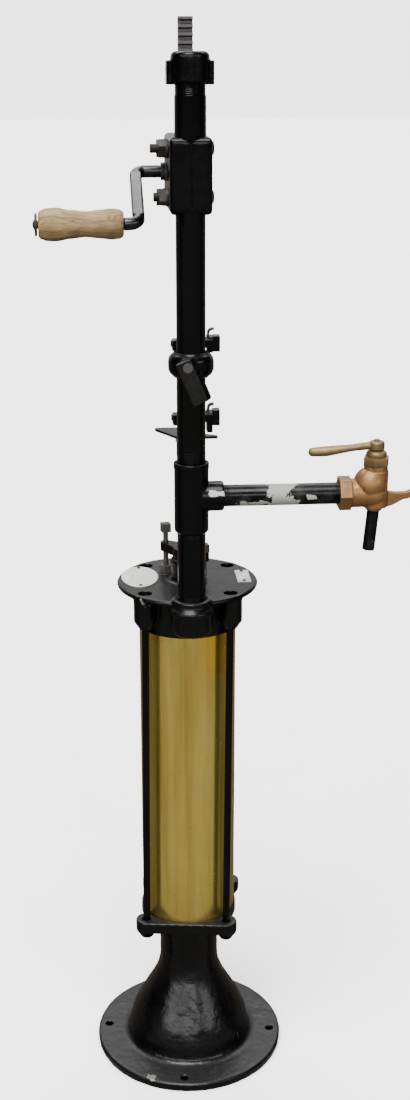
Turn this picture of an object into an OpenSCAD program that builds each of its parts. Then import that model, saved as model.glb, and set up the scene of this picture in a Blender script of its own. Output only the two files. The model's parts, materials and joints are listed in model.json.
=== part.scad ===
// Hand-cranked measuring pump for transferring oil and other fluids.
// A bell-shaped pedestal carries a brass barrel between four tie rods.
// The crank turns a pinion that lifts a rack, and with it the piston rod.
// Millimetres, +Z up, front is -Y, origin at the middle of the foot's underside.

/* [Pedestal] */
// Radius of the round foot
foot_r = 126.5; // [110:0.5:140]
// Thickness of the foot
foot_t = 12; // [8:0.5:16]
// Radius of the bell where it meets the foot
bell_r = 82.5; // [70:0.5:90]
// Radius of the neck under the barrel plate
neck_r = 39; // [36:0.5:44]
// Height of the barrel plate's top face
plate_z = 216; // [200:1:240]

/* [Barrel] */
// Outer radius of the brass barrel
barrel_r = 61.3; // [58:0.1:64]
// Bore radius of the barrel
bore_r = 57.2; // [54:0.1:57.4]
// Distance of the tie rods from the barrel's axis
rod_circle_r = 74; // [72:0.5:80]
// Radius of a tie rod
rod_r = 4.5; // [4:0.1:5]

/* [Head] */
// Radius of the head's round flange
flange_r = 88.5; // [84:0.5:96]
// Height of the flange's top face
flange_z = 675; // [640:1:700]
// Height of the piston and rack travel
stroke = 260; // [200:5:260]

/* [Column] */
// Distance from the barrel's axis forward to the column's axis
column_reach = 80.4; // [78:0.1:84]
// Radius of the column pipe
pipe_r = 16.7; // [16:0.1:17]
// Height of the discharge pipe's axis
outlet_z = 806; // [790:1:830]
// Distance from the column's axis to the faucet's axis
faucet_x = 219; // [200:1:240]

/* [Drive] */
// Gear module of the rack and pinion
gear_module = 2.75; // [2.75:0.25:2.75]
// Teeth on the pinion
pinion_teeth = 14; // [14:1:14]
// Height of the crank's axis
crank_z = 1174; // [1165:1:1180]
// Length of the crank's arm from axis to axis
crank_throw = 115; // [90:1:120]
// Angle of the crank's arm below level
crank_droop = 24.6; // [0:0.1:60]
// Height of the rack's top end
rack_top_z = 1340; // [1320:1:1360]

/* [Hidden] */
$fn = 96;
gap = 0.1;
fit = 0.05;
// How far the pedestal and the head sit turned about the barrel's axis, in degrees.
part_turn = [-7, -3];
ear_angles = [-135, -45, 45, 135];

// pedestal
plate_t = 16;
ear_r = 14.5;
ear_tip = 12;
seat_depth = 10;
web_z = [104, 122];
web_bore_r = 22;
chamber_r = 32;
bell_top_z = 135;
foot_hole_circle_r = 112;
foot_hole_r = 5;

// barrel and head
barrel_z = [plate_z - seat_depth + 2, 650];
skirt_r = 65.5;
skirt_z = 619;
flange_t = 7;
roof_z = 663;
head_ear_z = 628;
recess_r = 8.2;
recess_depth = 13;
box_r = 21;
box_z = 703;
gland_z = [705, 717];
gland_bolts = [[36, 135, 730, 11], [27.5, -45, 717, 9.5]];
gland_ear_r = 6.8;
bolt_r = 3.3;
rod_end_r = 7.6;
rod_end_drop = 4;

// column
column_y = -column_reach;
socket_z = 652;
tee_r = 20.3;
tee_z = [762, 848];
tee_bite = 14;
outlet_r = 17.8;
outlet_x = 38.2;
branch_r = 12.8;
column_top_z = 1284;
sleeve_r = 17.5;
sleeve_top_z = 1257;

// gear case
case_x = 23.6;
case_y = [-97.8, 29];
case_z = [1131, 1214.5];
case_round = 6;
case_bolts = [[-45, 1200, -43], [-45, 1147, -39.5], [17, 1197, -36.5], [17, 1142, -36.5]];
case_seam = 0.7;

// rack and pinion
tooth_pitch = PI * gear_module;
pitch_r = pinion_teeth * gear_module / 2;
tooth_tip = 0.8 * gear_module;
tooth_root = 1.05 * gear_module;
tooth_slack = 0.3;
pressure_angle = 20;
rack_x = 8.2;
rack_pitch_y = -7.5;
rack_back_y = 8;
rack_bottom_z = 846;
pinion_y = rack_pitch_y - pitch_r - 0.1;
roller_r = 8;
roller_y = rack_back_y + roller_r + 0.05;

// crank
crank_bar_r = 6.6;
arm_x = -59;
grip_x = [-76, -167];

// measuring stops
arm_z = [864, 867.2];
stop_y = -50;
stop_shaft_r = 4;
stops = [[982, 973, 991, 9], [894.5, 878.5, 902.4, 9]];
collar_z = [949, 978];
collar_r = 26.4;
lever_pivot = [-6, -112, 966];
lever_tilt = 23;

// piston
piston_z = [224, 246];
coupling_r = 12.5;
pin_z = 854;
piston_rod_r = 8;

// ---- shared functions and shapes ----

// Value that eases from a to b as t goes from 0 to 1.
function ease(a, b, t) = a + (b - a) * (1 - cos(180 * t)) / 2;

// Points on an arc about [cx, cy], from angle a0 to a1 in steps.
function arc(cx, cy, r, a0, a1, steps = 6) =
  [for (i = [0 : steps]) let (a = a0 + (a1 - a0) * i / steps) [cx + r * cos(a), cy + r * sin(a)]];

// Radius of the bell's outside at height z.
function bell_radius(z) =
  let (t = min(1, max(0, (z - foot_t) / (bell_top_z - foot_t))))
  ease(bell_r, neck_r, pow(t, 1.12));

// Place of tie rod i on a casting that is turned by the given angle.
function ear_place(i, turn) = rod_circle_r * [cos(ear_angles[i] + turn), sin(ear_angles[i] + turn)];

// Smooth outline through stations [position, radius].
function eased_outline(stations, steps = 6) =
  [for (i = [0 : len(stations) - 2], k = [0 : steps - 1])
    let (a = stations[i], b = stations[i + 1], t = k / steps)
    [ease(a[1], b[1], t), a[0] + (b[0] - a[0]) * t]];

module along_x(x) { translate([x, 0, 0]) rotate([0, 90, 0]) children(); }
module along_y(y) { translate([0, y, 0]) rotate([-90, 0, 0]) children(); }
module at_column() { translate([0, column_y, 0]) children(); }

module tube(r_out, r_in, z0, z1) {
  translate([0, 0, z0]) difference() {
    cylinder(r = r_out, h = z1 - z0);
    translate([0, 0, -1]) cylinder(r = r_in, h = z1 - z0 + 2);
  }
}

// Cylinder between two heights.
module rod(r, z0, z1) { translate([0, 0, z0]) cylinder(r = r, h = z1 - z0); }

// Cylinder between two points in space.
module bar(a, b, r) {
  d = b - a;
  h = norm(d);
  translate(a) rotate([0, acos(d[2] / h), atan2(d[1], d[0])]) cylinder(r = r, h = h);
}

// Rectangle from corner a to corner b with corners rounded by r.
module rounded_area(a, b, r) {
  polygon(concat(
    arc(b[0] - r, b[1] - r, r, 0, 90), arc(a[0] + r, b[1] - r, r, 90, 180),
    arc(a[0] + r, a[1] + r, r, 180, 270), arc(b[0] - r, a[1] + r, r, 270, 360)));
}

// Outline of a casting with four ears: straight at front and back, hollow at the sides.
module ear_outline(body_r, turn, r = ear_r) {
  circle(r = body_r);
  for (i = [0 : 3]) translate(ear_place(i, turn)) circle(r = r);
  for (pair = [[0, 1], [2, 3]]) {
    a = ear_place(pair[0], turn);
    b = ear_place(pair[1], turn);
    out = r * [(a + b)[0], (a + b)[1]] / norm(a + b);
    polygon([a + out, b + out, b / 2, a / 2]);
  }
}

// ---- pedestal ----

module pedestal_base() {
  color([0.05, 0.05, 0.055]) difference() {
    union() {
      rotate_extrude() polygon(concat(
        [[0, 0]], [[foot_r - 1, 0]], arc(foot_r - 3.5, foot_t - 3.5, 3.5, 0, 90, 4),
        arc(bell_r + 9, foot_t + 9, 9, 270, 190, 5),
        [for (i = [2 : 20]) let (z = foot_t + (bell_top_z - foot_t) * i / 20) [bell_radius(z), z]],
        [[neck_r, plate_z - plate_t - 14]],
        arc(neck_r + 12, plate_z - plate_t - 12, 12, 180, 90, 5),
        [[neck_r + 12, plate_z - 2], [0, plate_z - 2]]));
      translate([0, 0, plate_z - plate_t]) linear_extrude(plate_t) ear_outline(63.5, part_turn[0]);
      for (i = [0 : 3]) translate(ear_place(i, part_turn[0])) rotate_extrude() polygon([
        [0, plate_z - plate_t - ear_tip], [4.5, plate_z - plate_t - ear_tip],
        [8, plate_z - plate_t - ear_tip + 2.5], [ear_r, plate_z - plate_t + 1], [0, plate_z - plate_t + 1]]);
    }
    rotate_extrude() polygon(concat(
      [[0, -1], [bell_radius(foot_t) - 9, -1]],
      [for (i = [0 : 14]) let (z = 4 + (web_z[0] - 16) * i / 14) [bell_radius(z + 4) - 9, z]],
      [[30, web_z[0]], [0, web_z[0]]]));
    rod(web_bore_r + fit, web_z[0] - 1, web_z[1] + 1);
    rod(chamber_r, web_z[1], plate_z + 1);
    rod(barrel_r + gap, plate_z - seat_depth, plate_z + 1);
    for (i = [0 : 3]) translate(ear_place(i, part_turn[0])) rod(rod_r + 0.8, plate_z - 24, plate_z + 1);
    for (a = [0 : 90 : 270]) rotate(a + part_turn[0]) translate([foot_hole_circle_r, 0, 0])
      rod(foot_hole_r, -1, foot_t + 1);
  }
}

module foot_valve_seat() {
  color([0.62, 0.5, 0.25]) difference() {
    union() {
      rod(web_bore_r, web_z[0] - 8, web_z[1]);
      rod(28, web_z[1], web_z[1] + 5);
    }
    rod(16.7, web_z[0] - 9, web_z[0] + 10);
    difference() {
      rod(14, web_z[0] + 9, web_z[1] + 6);
      for (a = [0, 90]) rotate(a) translate([-15, -2, web_z[0] + 12]) cube([30, 4, 6]);
      rod(7, web_z[0] + 12, web_z[0] + 18);
    }
    rod(3.6, web_z[0] + 9, web_z[1] + 1);
  }
}

module foot_valve() {
  color([0.7, 0.56, 0.28]) {
    rod(18, web_z[1] + 5.3, web_z[1] + 9);
    rod(3.55, web_z[0] + 10.3, web_z[1] + 5.3);
    rod(7, web_z[1] + 9, web_z[1] + 15);
  }
}

// ---- barrel and head ----

module base_gasket() {
  color([0.3, 0.2, 0.12]) tube(barrel_r, bore_r, plate_z - seat_depth, barrel_z[0]);
}

module barrel() {
  color([0.66, 0.58, 0.27]) tube(barrel_r, bore_r, barrel_z[0], barrel_z[1]);
}

module head_gasket() {
  color([0.3, 0.2, 0.12]) tube(barrel_r, bore_r, barrel_z[1], barrel_z[1] + 2);
}

module front_boss() {
  rotate_extrude() polygon(concat(
    [[0, 632]], arc(15.5, 642, 10, 270, 360, 5), [[25.5, 654]],
    arc(24, 664, 4.5, -60, 60, 5), [[23, 672]], arc(21, 676, 2.5, 0, 90, 4), [[0, 678.5]]));
}

module cylinder_head() {
  color([0.05, 0.05, 0.055]) difference() {
    union() {
      rotate_extrude() polygon(concat(
        [[0, skirt_z], [skirt_r, skirt_z], [skirt_r, flange_z - flange_t]],
        [[flange_r - 2, flange_z - flange_t]],
        arc(flange_r - 2.5, flange_z - 3.5, 2.5, -30, 90, 4),
        [[flange_r - 2.5, flange_z], [box_r + 8, flange_z]],
        arc(box_r + 8, flange_z + 8, 8, 270, 180, 5),
        [[box_r, box_z - 1.5], [box_r - 1.5, box_z], [0, box_z]]));
      for (i = [0 : 3]) translate(ear_place(i, part_turn[1])) rotate_extrude() polygon([
        [0, head_ear_z], [7.5, head_ear_z], [ear_r, head_ear_z + 11],
        [ear_r, flange_z - 1], [0, flange_z - 1]]);
      at_column() front_boss();
      translate([-22, column_y, 640]) cube([44, column_reach - 50, flange_z - 640]);
      rotate(gland_bolts[0][1]) translate([gland_bolts[0][0], 0, 0]) rod(9.5, flange_z - 1, flange_z + 2);
    }
    rod(barrel_r + gap, skirt_z - 1, barrel_z[1] + 2);
    rod(bore_r - 1, barrel_z[1] + 1, roof_z);
    rod(piston_rod_r + 0.4, roof_z - 1, box_z + 1);
    rod(14, flange_z - 2, box_z + 1);
    at_column() rod(pipe_r + gap, socket_z, 680);
    at_column() rod(13, 644, socket_z + 1);
    translate([0, 0, 657]) intersection() {
      along_y(column_y) cylinder(r = 5.5, h = 40);
      translate([-10, column_y - 1, -6]) cube([20, 60, 12]);
    }
    for (i = [0 : 3]) translate(ear_place(i, part_turn[1])) {
      rod(rod_r + 0.8, head_ear_z - 1, flange_z + 1);
      rod(recess_r, flange_z - recess_depth, flange_z + 1);
    }
    for (b = gland_bolts) rotate(b[1]) translate([b[0], 0, 0]) rod(bolt_r + gap, flange_z - 8, flange_z + 3);
  }
}

module tie_rods() {
  color([0.06, 0.06, 0.065]) for (i = [0 : 3]) {
    low = ear_place(i, part_turn[0]);
    high = ear_place(i, part_turn[1]);
    bar([low[0], low[1], plate_z - 23.5], [high[0], high[1], flange_z - rod_end_drop], rod_r);
  }
}

module tie_rod_nuts() {
  color([0.12, 0.12, 0.12]) for (i = [0 : 3]) {
    high = ear_place(i, part_turn[1]);
    translate([high[0], high[1], flange_z - recess_depth + gap]) difference() {
      rotate(20 * i) cylinder(r = rod_end_r, h = 4.5, $fn = 6);
      translate([0, 0, -1]) cylinder(r = rod_r + gap, h = 7);
    }
  }
}

module gland_packing() {
  color([0.35, 0.3, 0.2]) tube(14 - gap, piston_rod_r + 0.1, flange_z - 2, box_z - 8);
}

module gland() {
  color([0.07, 0.07, 0.075]) difference() {
    union() {
      translate([0, 0, gland_z[0]]) linear_extrude(gland_z[1] - gland_z[0]) difference() {
        union() {
          circle(r = 18);
          for (b = gland_bolts) rotate(b[1]) {
            translate([b[0], 0]) circle(r = gland_ear_r);
            polygon([[0, 15], [b[0], gland_ear_r], [b[0], -gland_ear_r], [0, -15]]);
          }
        }
        for (b = gland_bolts) rotate(b[1]) translate([b[0], 0]) circle(r = bolt_r + 0.3);
      }
      rod(14 - gap, box_z - 8, gland_z[0] + 1);
    }
    rod(piston_rod_r + 0.1, box_z - 9, gland_z[1] + 1);
  }
}

// Each gland bolt is [distance, angle, height under the head, head height].
module gland_bolts() {
  color([0.06, 0.06, 0.065]) for (b = gland_bolts) rotate(b[1]) translate([b[0], 0, 0]) {
    rod(bolt_r, flange_z - 7.5, b[2]);
    rotate(12 - b[1]) translate([-5.7, -5.7, b[2]]) cube([11.4, 11.4, b[3]]);
  }
}

module gland_lock_nut() {
  color([0.08, 0.08, 0.085]) rotate(gland_bolts[0][1]) translate([gland_bolts[0][0], 0, flange_z + 2])
    difference() {
      cylinder(r = 8.4, h = 9, $fn = 6);
      translate([0, 0, -1]) cylinder(r = bolt_r + gap, h = 11);
    }
}

oval_centre = [-59.5, 10];
oval_size = [23, 38];
square_centre = [70.5, 3];
square_size = [17, 44];
plate_thickness = 1;

module oval_nameplate() {
  color([0.75, 0.74, 0.7])
    translate([oval_centre[0], oval_centre[1], flange_z]) linear_extrude(plate_thickness)
    difference() {
      polygon([for (a = [0 : 7.5 : 352.5]) [oval_size[0] * cos(a), oval_size[1] * sin(a)]]);
      for (side = [-1, 1]) translate([0, side * (oval_size[1] - 5)]) circle(r = 1.2);
    }
}

module square_nameplate() {
  color([0.78, 0.76, 0.68])
    translate([square_centre[0], square_centre[1], flange_z]) linear_extrude(plate_thickness)
    difference() {
      square(square_size, center = true);
      for (side = [-1, 1]) translate([0, side * (square_size[1] / 2 - 4)]) circle(r = 1.2);
    }
}

module nameplate_screws() {
  heads = [for (side = [-1, 1]) oval_centre + [0, side * (oval_size[1] - 5)],
           for (side = [-1, 1]) square_centre + [0, side * (square_size[1] / 2 - 4)]];
  color([0.3, 0.28, 0.25]) for (p = heads) translate([p[0], p[1], flange_z]) {
    cylinder(r = 1.1, h = plate_thickness + 0.5);
    translate([0, 0, plate_thickness]) cylinder(r = 2.2, h = 1);
  }
}

// ---- column and plumbing ----

module riser_pipe() {
  color([0.04, 0.04, 0.045]) at_column() tube(pipe_r, 13.3, socket_z, tee_z[0] + tee_bite);
}

module tee() {
  color([0.045, 0.045, 0.05]) difference() {
    union() {
      at_column() rotate_extrude() polygon([
        [0, tee_z[0]], [tee_r - 2.5, tee_z[0]], [tee_r, tee_z[0] + 3], [tee_r, tee_z[1] - 8],
        [tee_r + 0.7, tee_z[1] - 7], [tee_r + 0.7, tee_z[1] - 1], [tee_r, tee_z[1]], [0, tee_z[1]]]);
      translate([0, column_y, outlet_z]) along_x(0) {
        cylinder(r = outlet_r, h = outlet_x - 1.5);
        cylinder(r = outlet_r - 1.5, h = outlet_x);
      }
    }
    at_column() rod(14, tee_z[0] + tee_bite - 1, tee_z[1] - tee_bite + 1);
    at_column() rod(pipe_r + gap, tee_z[0] - 1, tee_z[0] + tee_bite);
    at_column() rod(pipe_r + gap, tee_z[1] - tee_bite, tee_z[1] + 1);
    translate([0, column_y, outlet_z]) along_x(0) cylinder(r = 10.5, h = outlet_x);
    translate([0, column_y, outlet_z]) along_x(outlet_x - tee_bite)
      cylinder(r = branch_r + gap, h = tee_bite + 1);
  }
}

module column_plug() {
  color([0.3, 0.3, 0.3]) at_column() rod(13.2, tee_z[1] - tee_bite, tee_z[1] - 4);
}

module column_pipe() {
  color([0.04, 0.04, 0.045]) at_column() difference() {
    union() {
      rod(pipe_r, tee_z[1] - tee_bite, column_top_z);
      rod(sleeve_r, case_z[1] + gap, sleeve_top_z);
    }
    rod(13.3, tee_z[1] - tee_bite - 1, column_top_z + 1);
  }
}

discharge_end_x = faucet_x - 34;

module discharge_pipe() {
  color([0.05, 0.05, 0.06]) translate([0, column_y, outlet_z]) along_x(outlet_x - tee_bite) difference() {
    cylinder(r = branch_r, h = discharge_end_x - outlet_x + tee_bite);
    translate([0, 0, -1]) cylinder(r = 10, h = discharge_end_x);
  }
}

// ---- faucet ----

spout_x = faucet_x - 1.5;
spout_top_z = 785;
spout_r = 7.4;
spout_thread_r = 6.8;
spout_length = 50;
spout_bite = 5;
spout_lean = 5;
bonnet_z = [839, 850];

// Frame at the spout's mouth, with +Z along the pipe towards its free end.
module at_spout() { translate([spout_x, 0, spout_top_z]) rotate([0, 180 + spout_lean, 0]) children(); }

module horn() {
  // can hook that rises from the body to an upturned tip
  rotate([90, 0, 0]) translate([0, 0, -4]) linear_extrude(8) polygon(concat(
    [[faucet_x + 6, 787], [faucet_x + 20, 790], [faucet_x + 34, 797.5]],
    arc(faucet_x + 34, 820.5, 23, -80, -4, 6), [[faucet_x + 56, 824], [faucet_x + 51.5, 822.5]],
    arc(faucet_x + 34, 821.5, 15.5, -12, -88, 5), [[faucet_x + 24, 806], [faucet_x + 6, 809]]));
}

module faucet_body() {
  color([0.62, 0.45, 0.27]) translate([0, column_y, 0]) difference() {
    union() {
      translate([0, 0, outlet_z]) {
        along_x(faucet_x - 44.4) rotate(30) cylinder(r = 21.4, h = 14.5, $fn = 6);
        along_x(faucet_x - 30.5) cylinder(r = 17.3, h = 24);
      }
      translate([faucet_x - 6, 0, outlet_z + 11.5]) sphere(r = 20.3);
      translate([faucet_x - 4, 0, outlet_z]) sphere(r = 18.5);
      translate([faucet_x, 0, 0]) rod(15, 789, 833);
      translate([faucet_x, 0, 0]) rod(14.2, 833, bonnet_z[0]);
      translate([spout_x, 0, 0]) rod(10, spout_top_z - 2, 800);
      horn();
    }
    translate([0, 0, outlet_z]) along_x(faucet_x - 45)
      cylinder(r = branch_r + gap, h = 45 - (faucet_x - discharge_end_x));
    translate([0, 0, outlet_z]) along_x(faucet_x - 35) cylinder(r = 7, h = 35);
    translate([faucet_x, 0, 0]) rod(10, 796, bonnet_z[0] + 1);
    translate([spout_x, 0, 0]) rod(4.6, 780, 797);
    at_spout() rod(spout_thread_r + gap, -spout_bite, 5);
    at_spout() rod(30, 0, 6);
  }
}

module faucet_bonnet() {
  color([0.66, 0.5, 0.28]) translate([faucet_x, column_y, 0]) difference() {
    union() {
      translate([0, 0, bonnet_z[0]]) rotate(12) cylinder(r = 16, h = bonnet_z[1] - bonnet_z[0], $fn = 6);
      rod(9.9, 832, bonnet_z[0]);
    }
    rod(4.6, 831, bonnet_z[1] + 1);
  }
}

module faucet_packing_nut() {
  color([0.68, 0.52, 0.3]) translate([faucet_x, column_y, 0]) difference() {
    rotate_extrude() polygon(concat(
      [[0, bonnet_z[1]], [11.5, bonnet_z[1]], [12.4, bonnet_z[1] + 1.5]],
      arc(8.4, bonnet_z[1] + 3.5, 4, 0, 90, 4), [[0, bonnet_z[1] + 7.5]]));
    rod(4.6, bonnet_z[1] - 1, bonnet_z[1] + 9);
  }
}

module spout_pipe() {
  color([0.04, 0.04, 0.045]) translate([0, column_y, 0]) at_spout() difference() {
    union() {
      rod(spout_r, 0, spout_length);
      rod(spout_thread_r, -spout_bite, 0.5);
    }
    rod(5, -spout_bite - 1, spout_length + 1);
  }
}

module faucet_plug() {
  color([0.66, 0.5, 0.3]) translate([faucet_x, column_y, 0]) difference() {
    union() {
      rod(9.95, 796.3, 831);
      rod(4.5, 831, 866);
    }
    rod(4.5, 795, outlet_z);
    translate([0, 0, outlet_z]) along_y(0) cylinder(r = 6, h = 11);
  }
}

// Lever with its hub on the stem, tapering to a rounded thumb end.
module faucet_handle() {
  hub_z = [858, 869];
  tip_x = -81.5;
  color([0.62, 0.48, 0.27]) translate([faucet_x, column_y, 0]) difference() {
    union() {
      rotate_extrude() polygon(concat(
        [[0, hub_z[0]], [8.5, hub_z[0]], [9.4, hub_z[0] + 2]],
        arc(6.4, hub_z[1] - 3, 3, 0, 90, 4), [[0, hub_z[1]]]));
      hull($fn = 24) {
        translate([-3, 0, 864]) sphere(r = 4.8);
        translate([-30, 0, 861]) scale([1, 1.2, 1]) sphere(r = 4.2);
      }
      hull($fn = 24) {
        translate([-30, 0, 861]) scale([1, 1.2, 1]) sphere(r = 4.2);
        translate([-60, 0, 857.5]) scale([1, 1.15, 1]) sphere(r = 6.2);
      }
      hull($fn = 24) {
        translate([-60, 0, 857.5]) scale([1, 1.15, 1]) sphere(r = 6.2);
        translate([tip_x + 5.4, 0, 856.8]) sphere(r = 5.4);
      }
    }
    rod(4.55, hub_z[0] - 1, 866.1);
    rod(1.6, 866, hub_z[1] + 1);
  }
}

module handle_screw() {
  color([0.5, 0.42, 0.3]) translate([faucet_x, column_y, 0]) {
    rod(1.5, 866.1, 869.1);
    rod(3.4, 869, 871);
  }
}

// ---- gear case ----

module case_solid() {
  intersection() {
    translate([-case_x, 0, 0]) rotate([90, 0, 90]) linear_extrude(2 * case_x)
      rounded_area([case_y[0], case_z[0]], [case_y[1], case_z[1]], 7.5);
    translate([0, case_y[1], 0]) rotate([90, 0, 0]) linear_extrude(case_y[1] - case_y[0])
      rounded_area([-case_x, case_z[0]], [case_x, case_z[1]], case_round);
    translate([0, 0, case_z[0]]) linear_extrude(case_z[1] - case_z[0])
      rounded_area([-case_x, case_y[0]], [case_x, case_y[1]], case_round);
  }
}

module case_hollow() {
  at_column() rod(pipe_r + gap, case_z[0] - 1, case_z[1] + 1);
  translate([0, pinion_y, crank_z]) {
    along_x(-11) cylinder(r = 24, h = 22);
    along_x(-case_x - 1) cylinder(r = 7.05, h = 2 * case_x + 2);
  }
  translate([-rack_x - 0.6, rack_pitch_y - tooth_tip - 1, case_z[0] - 1])
    cube([2 * rack_x + 1.2, rack_back_y - rack_pitch_y + tooth_tip + 1.8, case_z[1] - case_z[0] + 2]);
  translate([0, roller_y, crank_z]) {
    along_x(-8.6) cylinder(r = roller_r + 1, h = 17.2);
    along_x(-case_x + 5) cylinder(r = 3 + fit, h = 2 * case_x - 10);
  }
  for (b = case_bolts) translate([0, b[0], b[1]]) along_x(-case_x - 1)
    cylinder(r = 5 + gap, h = 2 * case_x + 2);
}

module gear_case_left() {
  color([0.045, 0.045, 0.05]) intersection() {
    difference() { case_solid(); case_hollow(); }
    translate([-case_x - 1, case_y[0] - 1, case_z[0] - 1]) cube([case_x + 1 - case_seam, 140, 100]);
  }
}

module gear_case_right() {
  color([0.045, 0.045, 0.05]) intersection() {
    difference() { case_solid(); case_hollow(); }
    translate([case_seam, case_y[0] - 1, case_z[0] - 1]) cube([case_x + 1, 140, 100]);
  }
}

module gear_case_bolts() {
  color([0.1, 0.1, 0.1]) for (b = case_bolts) translate([0, b[0], b[1]]) {
    along_x(b[2]) cylinder(r = 5, h = case_x - b[2]);
    along_x(case_x) rotate_extrude()
      polygon(concat([[0, 0], [8.5, 0], [8.5, 1.5]], arc(4.5, 1.5, 4, 0, 90, 4), [[0, 5.5]]));
  }
}

module gear_case_nuts() {
  color([0.09, 0.09, 0.09]) for (b = case_bolts) translate([0, b[0], b[1]]) difference() {
    union() {
      along_x(-case_x - 2) cylinder(r = 10.5, h = 2);
      along_x(-case_x - 9.5) rotate(45 + b[1]) cylinder(r = 10.4, h = 7.6, $fn = 4);
    }
    along_x(-case_x - 10) cylinder(r = 5 + gap, h = 11);
  }
}

module rack_roller() {
  color([0.35, 0.35, 0.37]) translate([0, roller_y, crank_z]) along_x(-8) difference() {
    cylinder(r = roller_r, h = 16);
    translate([0, 0, -1]) cylinder(r = 3 + fit, h = 18);
  }
}

module roller_pin() {
  color([0.4, 0.4, 0.42]) translate([0, roller_y, crank_z]) along_x(-case_x + 5.2)
    cylinder(r = 3, h = 2 * case_x - 10.4);
}

cap_z = [1270, 1302.5];
guide_z = [1268, 1293];

module top_cap() {
  color([0.045, 0.045, 0.05]) difference() {
    union() {
      at_column() rotate_extrude() polygon(concat(
        [[0, cap_z[0]], [20.2, cap_z[0]], [21.3, cap_z[0] + 1.5]],
        arc(15.3, cap_z[1] - 6, 6, 0, 90, 5), [[0, cap_z[1]]]));
      translate([0, 0, guide_z[0]]) linear_extrude(guide_z[1] - guide_z[0]) union() {
        rounded_area([-26, column_y - 7], [26, column_y + 22], 3);
        rounded_area([-15, column_y + 16], [15, rack_back_y + 8], 4);
      }
    }
    at_column() rod(pipe_r + gap, guide_z[0] - 1, column_top_z + 0.2);
    translate([-rack_x - 0.5, rack_pitch_y - tooth_tip - 0.6, guide_z[0] - 1])
      cube([2 * rack_x + 1, rack_back_y - rack_pitch_y + tooth_tip + 1.1, guide_z[1] - guide_z[0] + 2]);
    for (side = [-1, 1]) translate([side * 20, column_y, 1282]) rotate([0, side * 90, 0])
      translate([0, 0, -4]) cylinder(r = 3 + gap, h = 12);
  }
}

module cap_set_screws() {
  color([0.12, 0.12, 0.12]) for (side = [-1, 1])
    translate([side * (pipe_r + 0.1), column_y, 1282]) rotate([0, side * 90, 0]) cylinder(r = 3, h = 9);
}

// ---- collar and measuring stops ----

module clamp_collar() {
  h = collar_z[1] - collar_z[0];
  color([0.06, 0.06, 0.065]) difference() {
    union() {
      at_column() rotate_extrude() polygon(concat(
        [[0, collar_z[0]], [20, collar_z[0]]],
        arc(collar_r - 11, collar_z[0] + 11, 11, -60, 0, 5),
        arc(collar_r - 11, collar_z[1] - 11, 11, 0, 60, 5), [[20, collar_z[1]], [0, collar_z[1]]]));
      translate([lever_pivot[0], 0, lever_pivot[2]]) along_y(lever_pivot[1] + 4.3) cylinder(r = 9, h = 20);
    }
    at_column() rod(pipe_r + gap, collar_z[0] - 1, collar_z[1] + 1);
    translate([lever_pivot[0], 0, lever_pivot[2]]) along_y(lever_pivot[1] + 3) cylinder(r = 3 + gap, h = 13);
  }
}

module lever_pin() {
  color([0.1, 0.1, 0.1]) translate([lever_pivot[0], 0, lever_pivot[2]]) {
    along_y(lever_pivot[1] - 5) cylinder(r = 3, h = 20);
    along_y(lever_pivot[1] - 6.8) cylinder(r = 5.5, h = 2.5);
  }
}

module clamp_lever() {
  color([0.05, 0.05, 0.055]) translate(lever_pivot) rotate([0, -lever_tilt, 0]) difference() {
    intersection() {
      translate([0, 0, -44]) linear_extrude(52) polygon([
        [-11.5, -3], [-10.5, -4], [6, -4], [11.5, 1.5], [11.5, 4], [-11.5, 4]]);
      rotate([90, 0, 0]) translate([0, 0, -6]) linear_extrude(12) rounded_area([-11.5, -44], [11.5, 8], 2.5);
    }
    along_y(-6) cylinder(r = 3.06, h = 12);
  }
}

// Bracket behind the column. s is [shaft height, lug bottom, lug top, half height of the left lug].
module stop_bracket(s) {
  color([0.05, 0.05, 0.055]) difference() {
    union() {
      translate([-18.5, -66, s[0] - 3]) cube([45, 18, s[3]]);
      translate([20, -64, s[1]]) cube([6.5, 20, s[2] - s[1]]);
      translate([-20, -64, s[0] - 7]) cube([7.5, 20, 12]);
      translate([12.5, -58, s[0] - 4]) cube([12, 14, 10]);
    }
    at_column() rod(pipe_r + gap, s[0] - 30, s[0] + 30);
    at_column() rod(collar_r + 0.6, collar_z[0] - 1, collar_z[1] + 0.8);
    translate([-8, stop_y - 6.5, s[0] - 20]) cube([16, 40, 40]);
    translate([0, stop_y, s[0]]) along_x(-30) cylinder(r = stop_shaft_r + 0.06, h = 60);
  }
}

module upper_stop_bracket() { stop_bracket(stops[0]); }
module lower_stop_bracket() { stop_bracket(stops[1]); }

module stop_spring(s) {
  color([0.08, 0.08, 0.085]) translate([0, -50, s[2]]) rotate([90, 0, 0]) linear_extrude(7) polygon(concat(
    [[20.5, 0], [23, 0], [23, 4]], arc(26.5, 3.5, 3.4, 180, 90, 4), [[28.6, 7.4], [28.4, 9.6]],
    arc(26.5, 3.5, 6, 90, 180, 4)));
}

module upper_stop_spring() { stop_spring(stops[0]); }
module lower_stop_spring() { stop_spring(stops[1]); }

// Turn stop: a shaft with a square knob outside the bracket and a hanging nose inside it.
module turn_stop(s) {
  nose = 24;
  color([0.055, 0.055, 0.06]) translate([0, stop_y, s[0]]) {
    along_x(-21.5) cylinder(r = stop_shaft_r, h = 50);
    along_x(-7) cylinder(r = 5.6, h = 14);
    translate([-6, -2.6, -nose]) cube([12, 5.2, nose]);
    translate([26.8, -8, -9]) cube([8.7, 16, 18]);
  }
}

module upper_stop() { turn_stop(stops[0]); }
module lower_stop() { turn_stop(stops[1]); }

// ---- rack, piston rod and piston ----

tooth_half = tooth_pitch / 4 - tooth_slack / 2;
flank = tan(pressure_angle);

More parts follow.
